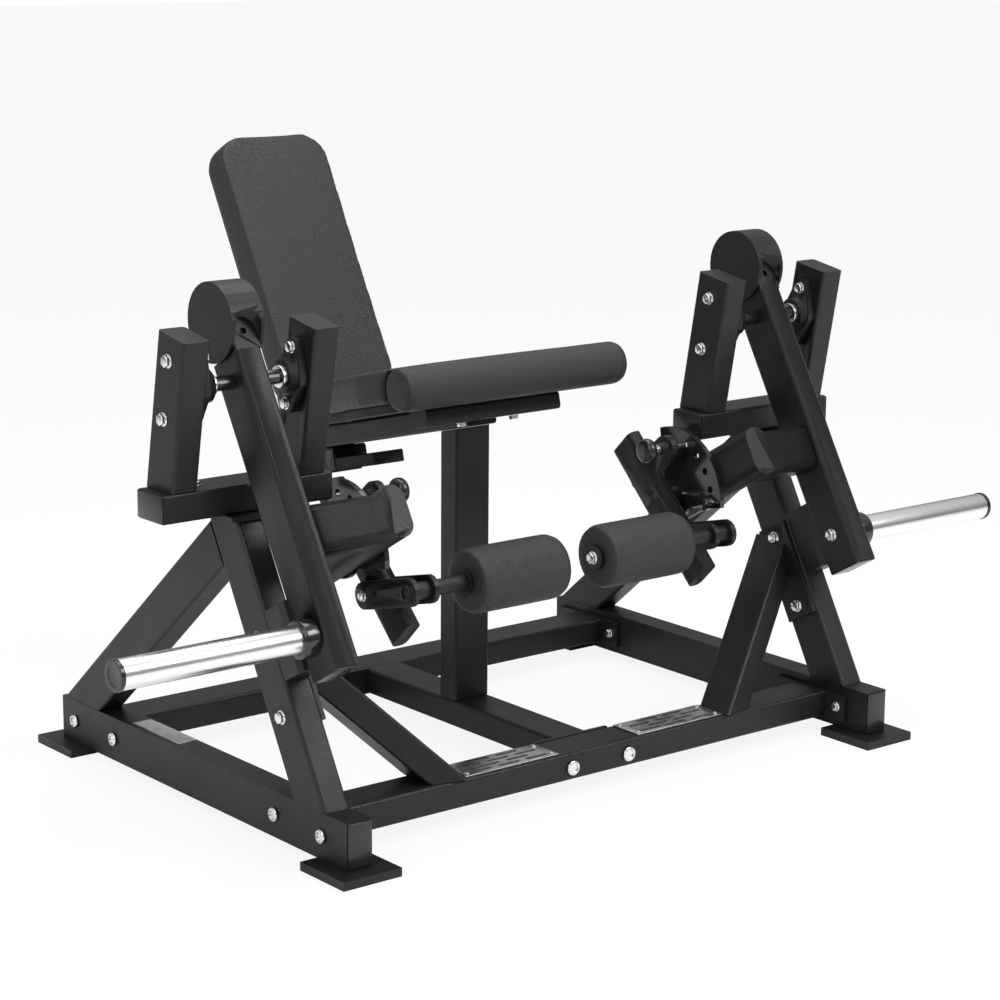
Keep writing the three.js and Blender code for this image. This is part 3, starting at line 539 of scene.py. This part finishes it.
TUBE_WIDE, TUBE_TALL = 50 * MM, 80 * MM
RAIL_TOP = 95 * MM
FOOT_OUT, FOOT_AHEAD = 33 * MM, 38 * MM  # the feet's reach past the rail's face and end
FLANGE = 8.3 * MM  # a bolted plate and the gap behind it
RAIL_BOLT, BEARING_BOLT = 68 * MM, 49.5 * MM  # from the middle of each pair
BRACE_BOLTS = (175, 312)  # up the leg, in millimetres
YOKE_BOLTS = (509, 670)  # out from the machine's middle, in millimetres
rail_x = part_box("left_side_rail")[1][0] - FOOT_OUT
rail_inner = rail_x - TUBE_WIDE
fasteners = 0
for side, way in SIDES.items():
    out = X * way
    for rail in ("front_rail", "rear_rail"):
        at = middle(rail)
        for end in (-1, 1):
            y = at.y + end * RAIL_BOLT
            fasten(f"{side}_{rail}_bolt_{end + 2}", "dome", Vector((way * rail_x, y, at.z)), out,
                   "root", 0.9)
            fasten(f"{side}_{rail}_nut_{end + 2}", "hex",
                   Vector((way * (rail_inner - FLANGE), y, at.z)), -out, "root", 0.8)
            fasteners += 2
    leg_foot = Vector((0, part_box(f"{side}_front_leg")[0][1], RAIL_TOP)) + \
        Vector((0, leg_up.z, -leg_up.y)) * (TUBE_TALL / 2)
    for along in BRACE_BOLTS:
        place = leg_foot + leg_up * (along * MM)
        fasten(f"{side}_brace_bolt_{along}", "hex", Vector((way * rail_x, place.y, place.z)), out,
               "root")
        fasten(f"{side}_brace_nut_{along}", "hex",
               Vector((way * (rail_inner - FLANGE), place.y, place.z)), -out, "root")
        fasteners += 2
    yoke_at, yoke_top = middle(f"{side}_yoke"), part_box(f"{side}_yoke")[1][2]
    for x in YOKE_BOLTS:
        fasten(f"{side}_yoke_bolt_{x}", "hex", Vector((way * x * MM, yoke_at.y, yoke_top)), Z,
               "root", 0.8)
        fasten(f"{side}_yoke_nut_{x}", "hex",
               Vector((way * x * MM, yoke_at.y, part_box(f"{side}_yoke")[0][2])), -Z, "root", 0.8)
        fasteners += 2
    for upright, face, nut_way in (("inner", -1, 1), ("outer", 1, -1)):
        low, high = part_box(f"{side}_{upright}_upright")
        reach = sorted((abs(low[0]), abs(high[0])))
        head_x = reach[0] if upright == "inner" else reach[1]
        bearing = [abs(v[0]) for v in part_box(f"{side}_{upright}_bearing")]
        flange_x = min(bearing) + 14 * MM if upright == "inner" else max(bearing) - 14 * MM
        for end in (-1, 1):
            place = pivot + upright_up * (end * BEARING_BOLT)
            fasten(f"{side}_{upright}_bearing_bolt_{end + 2}", "hex",
                   Vector((way * head_x, place.y, place.z)), X * (way * face), "root")
            fasten(f"{side}_{upright}_bearing_nut_{end + 2}", "hex",
                   Vector((way * flange_x, place.y, place.z)), X * (way * nut_way), "root", 0.9)
            fasteners += 2
    arm_low, arm_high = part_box(f"{side}_swing_arm")
    arm_x = sorted((abs(arm_low[0]), abs(arm_high[0])))
    horn = middle(f"{side}_weight_horn")
    fasten(f"{side}_horn_bolt", "hex", Vector((way * arm_x[0], horn.y, horn.z)), -out,
           f"{side}_arm")
    roller = joint_at(f"{side}_roller_spin")
    inner_end = min(abs(v[0]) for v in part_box(f"{side}_roller_carrier"))
    outer_end = max(abs(v[0]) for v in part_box(f"{side}_roller_carrier"))
    fasten(f"{side}_axle_bolt", "hex", Vector((way * inner_end, roller.y, roller.z)), -out,
           f"{side}_lever")
    boss = 6 * MM
    fasten(f"{side}_axle_nut", "dome", Vector((way * (outer_end - boss), roller.y, roller.z)), out,
           f"{side}_lever", 1.0, "powder_coat")
    tilt = joint_at(f"{side}_lever_tilt")
    clamp = tilt + Vector((0, -45 * MM, -69 * MM))
    fasten(f"{side}_clamp_bolt", "hex", Vector((way * outer_end, clamp.y, clamp.z)), out,
           f"{side}_lever", 0.8)
    fasteners += 4
    tread_at, tread_size = middle(f"{side}_tread_plate"), size(f"{side}_tread_plate")
    for along_x in (-1, 1):
        for across in (-1, 1):
            corner = tread_at + Vector((along_x * (tread_size.x / 2 - 9 * MM),
                                        across * (tread_size.y / 2 - 9 * MM), 1 * MM))
            fasten(f"{side}_tread_screw_{along_x + 2}{across + 2}", "dome", corner, Z, "root",
                   0.35, "stainless")
            fasteners += 1
    fasten(f"{side}_spine_bolt", "dome",
           Vector((way * 65 * MM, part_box("front_rail")[0][1] + 50 * MM, 0.053)), -Y, "root")
    fasten(f"{side}_seat_nut", "hex",
           middle("seat_cross_tube") + X * way * 60 * MM - seat_up * 17 * MM, -seat_up, "root",
           0.8)
    fasteners += 2
for head in heads.values():
    bpy.data.objects.remove(head)
print(fasteners, "fasteners")

# %% [markdown]
# ## End plugs and collars
# Each open tube end is closed by a moulded plug with a thin flange. The flange is a
# bevelled slab a little smaller than the tube. The bearings' locking collars are
# plain plated rings.

# %% Plugs in the tube ends
PLUG_NARROW, PLUG_TALL = 46, 76  # millimetres, a little less than the tube
ARM_BELOW = 508 * MM  # from the hinge to the arm's lower end


def plug(name, centre, out, up, wide, tall, body):
    piece = slab(name, (0, 0, 0), (wide * MM, tall * MM, 3 * MM), 1.2 * MM, 3)
    side_way = up.cross(out).normalized()
    basis = Matrix((side_way, up.normalized(), out.normalized())).transposed().to_4x4()
    piece.data.transform(Matrix.Translation(centre + out * 1.2 * MM) @ basis)
    paint(piece, "plastic")
    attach(piece, body)


for side, way in SIDES.items():
    yoke_at = middle(f"{side}_yoke")
    yoke_x = sorted(abs(v[0]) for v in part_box(f"{side}_yoke"))
    plug(f"{side}_yoke_plug_in", Vector((way * yoke_x[0], yoke_at.y, yoke_at.z)), -X * way, Z,
         PLUG_TALL, PLUG_NARROW, "root")
    plug(f"{side}_yoke_plug_out", Vector((way * yoke_x[1], yoke_at.y, yoke_at.z)), X * way, Z,
         PLUG_TALL, PLUG_NARROW, "root")
    for end in (-1, 1):
        end_y = (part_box(f"{side}_side_rail")[0][1] + FOOT_AHEAD if end < 0
                 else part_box(f"{side}_side_rail")[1][1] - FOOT_AHEAD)
        plug(f"{side}_rail_plug_{end + 2}",
             Vector((way * (rail_x - TUBE_WIDE / 2), end_y, RAIL_TOP - TUBE_TALL / 2)),
             Y * end, Z, PLUG_NARROW, PLUG_TALL, "root")
    arm_x = middle(f"{side}_swing_arm").x
    foot = pivot - arm_up * ARM_BELOW
    plug(f"{side}_arm_plug", Vector((arm_x, foot.y, foot.z)), -arm_up, -arm_rear,
         PLUG_NARROW, PLUG_TALL, f"{side}_arm")

# %% Locking collars
RING_RADIUS, RING_SPACE, RING_LENGTH = 19 * MM, 10 * MM, 9.4 * MM
for side, way in SIDES.items():
    for upright in ("inner", "outer"):
        faces = sorted(abs(v[0]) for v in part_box(f"{side}_{upright}_bearing"))
        start = faces[1] if upright == "inner" else faces[0] - RING_SPACE
        ring = round_piece(f"{side}_{upright}_collar",
                           Vector((way * (start + RING_SPACE / 2), pivot.y, pivot.z)), X * way,
                           RING_RADIUS, RING_LENGTH, sides=72, rim=1.2 * MM)
        paint(ring, "chrome")
        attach(ring, f"{side}_arm")
print("four plated collars")

# %% [markdown]
# ## Data plate
# A small bright plate is riveted on the top of the right rail. It stays blank here,
# with a raised border, so it says nothing.

# %% Blank plate
plate_at = Vector((-(rail_x - 29 * MM), middle("right_side_rail").y + 143 * MM, 0.0955))
data_plate = slab("blank_data_plate", plate_at, (40 * MM, 153 * MM, 1.4 * MM), 0.6 * MM, 2)
pick_faces(data_plate, lambda face: face.normal.z > 0.9 and face.area > 0.002)
bpy.ops.mesh.inset(thickness=3 * MM)
bpy.ops.transform.translate(value=(0, 0, -0.4 * MM))
done_editing()
paint(data_plate, "stainless")
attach(data_plate, "root")

# %% [markdown]
# ## Upholstery
# The seat, thigh roll, back pad and roller pads are foam under grained vinyl. A plain
# block never looks soft, so each pad is blown up a little like a real cover over its
# foam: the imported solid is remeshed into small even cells, shrunk, and simulated as
# cloth under pressure. A cap on how far each point moves keeps the pad's size. The
# seams are pressed in afterwards, because they are narrower than a cell, and the face
# that rests on the board is pressed flat again.

# %% Inflate a cover over a pad
CELL = 6 * MM


def cover(name, nodes, shrink, swell, cell=CELL):
    made = [copy_of(node, f"{name}_{i}") for i, node in enumerate(nodes)]
    pad = join(name, made) if len(made) > 1 else made[0]
    pad.name = name
    modify(pad, "REMESH", mode="VOXEL", voxel_size=cell)
    modify(pad, "DISPLACE", strength=-shrink, mid_level=0)
    modify(pad, "SMOOTH", factor=0.5, iterations=18)
    start = [vertex.co.copy() for vertex in pad.data.vertices]
    inflate(pad)
    moves = [vertex.co - home for vertex, home in zip(pad.data.vertices, start)]
    furthest = max(move.length for move in moves)
    if furthest > swell:
        for vertex, home, move in zip(pad.data.vertices, start, moves):
            vertex.co = home + move * (swell / furthest)
    modify(pad, "SMOOTH", factor=0.5, iterations=8)
    modify(pad, "SUBSURF", levels=1, render_levels=1)
    only(pad)
    bpy.ops.object.shade_smooth()
    paint(pad, "vinyl")
    print(name, len(pad.data.polygons), "faces")
    return pad


def inflate(pad):
    only(pad)
    cloth = pad.modifiers.new("Cloth", "CLOTH")
    settings = cloth.settings
    settings.use_pressure = True
    settings.uniform_pressure_force = 4
    settings.effector_weights.gravity = 0
    settings.quality = 5
    settings.tension_stiffness = 25
    settings.bending_stiffness = 2
    scene = bpy.context.scene
    for step in range(1, 21):
        scene.frame_set(step)
    bpy.ops.object.modifier_apply(modifier="Cloth")
    scene.frame_set(1)


def press_flat(pad, direction, limit):
    """Keeps the pad on its side of the board it rests on."""
    for vertex in pad.data.vertices:
        past = vertex.co.dot(direction) - limit
        if past > 0:
            vertex.co -= direction * past


def press_seam(pad, depth_of, width, deep):
    """Pushes points near a seam inwards; depth_of gives a point's distance from the seam."""
    normals = [vertex.normal.copy() for vertex in pad.data.vertices]
    for vertex, normal in zip(pad.data.vertices, normals):
        distance = abs(depth_of(vertex.co))
        if distance < width:
            vertex.co -= normal * deep * (0.5 + 0.5 * math.cos(math.pi * distance / width))


# %% Back pad
back_pad = cover("back_pad_cover", ["back_pad"], 1.5 * MM, 6 * MM)
depths = [v.co.dot(pad_rear) for v in frame["nodes"]["back_pad"].data.vertices]
press_seam(back_pad, lambda p: p.dot(pad_rear) - min(depths) - 9 * MM, 4.5 * MM, 1.1 * MM)
press_flat(back_pad, pad_rear, max(depths))
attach(back_pad, "root")
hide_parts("back_pad")

# %% Seat cushion
seat = cover("seat_cover", ["seat_cushion"], 1.5 * MM, 5 * MM)
heights = [v.co.dot(seat_up) for v in frame["nodes"]["seat_cushion"].data.vertices]
press_seam(seat, lambda p: p.dot(seat_up) - max(heights) + 9 * MM, 4.5 * MM, 1.0 * MM)
press_flat(seat, -seat_up, -min(heights))
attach(seat, "root")
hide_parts("seat_cushion")

# %% Thigh roll
roll = cover("thigh_roll_cover", ["thigh_roll"], 1 * MM, 1.5 * MM, cell=4 * MM)
roll_end = abs(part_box("thigh_roll")[1][0])
press_seam(roll, lambda p: abs(p.x) - roll_end + 9 * MM, 4 * MM, 0.9 * MM)
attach(roll, "root")
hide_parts("thigh_roll")

# %% Roller pads
for side, way in SIDES.items():
    node = f"{side}_roller_pad"
    roller = cover(f"{side}_roller_cover", [node], 1 * MM, 1.5 * MM, cell=4.5 * MM)
    ends = sorted(abs(v[0]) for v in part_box(node))
    for end, inward in ((ends[0], 1), (ends[1], -1)):
        press_seam(roller, lambda p, e=end, i=inward: abs(p.x) - e - i * 9 * MM, 4 * MM,
                   0.8 * MM)
    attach(roller, f"{side}_roller")
    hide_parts(node)

# %% [markdown]
# ## Stage
# A plain pale floor, a white surround and soft lights. The floor and the surround
# turn white for the camera through Light Path, so the lamps can stay at a plain level
# that suits dark paint. For light and reflections the surround is bright overhead and
# dim at the horizon, as a studio with a big ceiling light is, which gives the chrome
# its dark and bright bands.

# %% Floor
deselect()
bpy.ops.mesh.primitive_plane_add(size=60, location=(0, 0, -0.5 * MM))
floor = bpy.context.object
floor.name = "studio_floor"
pale = bpy.data.materials.new("pale_floor")
pale.use_nodes = True
tree = pale.node_tree
tree.nodes.clear()
path = tree.nodes.new("ShaderNodeLightPath")
matt = tree.nodes.new("ShaderNodeBsdfDiffuse")
matt.inputs["Color"].default_value = (0.86, 0.86, 0.86, 1)
glow = tree.nodes.new("ShaderNodeEmission")
glow.inputs["Strength"].default_value = 1.0
share = tree.nodes.new("ShaderNodeMath")
share.operation = "MULTIPLY"
share.inputs[1].default_value = 0.88
blend_in = tree.nodes.new("ShaderNodeMixShader")
surface = tree.nodes.new("ShaderNodeOutputMaterial")
tree.links.new(path.outputs["Is Camera Ray"], share.inputs[0])
tree.links.new(share.outputs["Value"], blend_in.inputs["Fac"])
tree.links.new(matt.outputs["BSDF"], blend_in.inputs[1])
tree.links.new(glow.outputs["Emission"], blend_in.inputs[2])
tree.links.new(blend_in.outputs["Shader"], surface.inputs["Surface"])
floor.data.materials.append(pale)

# %% Surround
world = bpy.data.worlds.new("white_studio")
bpy.context.scene.world = world
world.use_nodes = True
tree = world.node_tree
tree.nodes.clear()
path = tree.nodes.new("ShaderNodeLightPath")
seen = tree.nodes.new("ShaderNodeMath")
seen.operation = "MAXIMUM"
soft = tree.nodes.new("ShaderNodeBackground")
heading = tree.nodes.new("ShaderNodeTexCoord")
split = tree.nodes.new("ShaderNodeSeparateXYZ")
rise = tree.nodes.new("ShaderNodeMapRange")
rise.inputs["From Min"].default_value = 0.0
rise.inputs["From Max"].default_value = 0.8
rise.inputs["To Min"].default_value = 0.12
rise.inputs["To Max"].default_value = 0.75
tree.links.new(heading.outputs["Generated"], split.inputs["Vector"])
tree.links.new(split.outputs["Z"], rise.inputs["Value"])
tree.links.new(rise.outputs["Result"], soft.inputs["Strength"])
white = tree.nodes.new("ShaderNodeBackground")
white.inputs["Color"].default_value = (1, 1, 1, 1)
white.inputs["Strength"].default_value = 1.0
soft.inputs["Color"].default_value = (1, 1, 1, 1)
either = tree.nodes.new("ShaderNodeMixShader")
sky = tree.nodes.new("ShaderNodeOutputWorld")
tree.links.new(path.outputs["Is Camera Ray"], seen.inputs[0])
tree.links.new(path.outputs["Is Transmission Ray"], seen.inputs[1])
tree.links.new(seen.outputs["Value"], either.inputs["Fac"])
tree.links.new(soft.outputs["Background"], either.inputs[1])
tree.links.new(white.outputs["Background"], either.inputs[2])
tree.links.new(either.outputs["Shader"], sky.inputs["Surface"])

# %% Lights


def lamp(name, place, aim, energy, width, height):
    light = bpy.data.lights.new(name, "AREA")
    light.shape = "RECTANGLE"
    light.size, light.size_y, light.energy = width, height, energy
    holder = bpy.data.objects.new(name, light)
    bpy.context.scene.collection.objects.link(holder)
    holder.location = place
    holder.rotation_euler = (Vector(aim) - Vector(place)).to_track_quat("-Z", "Y").to_euler()


lamp("key", (1.6, -3.4, 3.2), (0, 0, 0.5), 110, 2.2, 1.6)
lamp("fill", (-3.6, -1.2, 2.2), (0, 0, 0.5), 55, 1.8, 2.4)
lamp("top", (0.2, 0.4, 3.6), (0, 0, 0.3), 70, 2.6, 2.6)
bpy.context.scene.view_settings.view_transform = "Standard"

# %% Camera
CAMERA_AT = Vector((-2.995, -3.9046, 1.540))
TURN, PITCH, ROLL = -0.678, -0.22, 0.008
right = Vector((math.cos(TURN), math.sin(TURN), 0))
ahead = Vector((-math.sin(TURN) * math.cos(PITCH), math.cos(TURN) * math.cos(PITCH),
                math.sin(PITCH)))
above = right.cross(ahead)
side_axis = right * math.cos(ROLL) + above * math.sin(ROLL)
top_axis = above * math.cos(ROLL) - right * math.sin(ROLL)
camera_data = bpy.data.cameras.new("camera")
camera_data.lens = 97.19
camera_data.sensor_width = 36
camera = bpy.data.objects.new("camera", camera_data)
bpy.context.scene.collection.objects.link(camera)
basis = Matrix((side_axis, top_axis, -ahead)).transposed().to_4x4()
camera.matrix_world = Matrix.Translation(CAMERA_AT) @ basis
bpy.context.scene.camera = camera
print("camera looks along", [round(v, 3) for v in ahead])
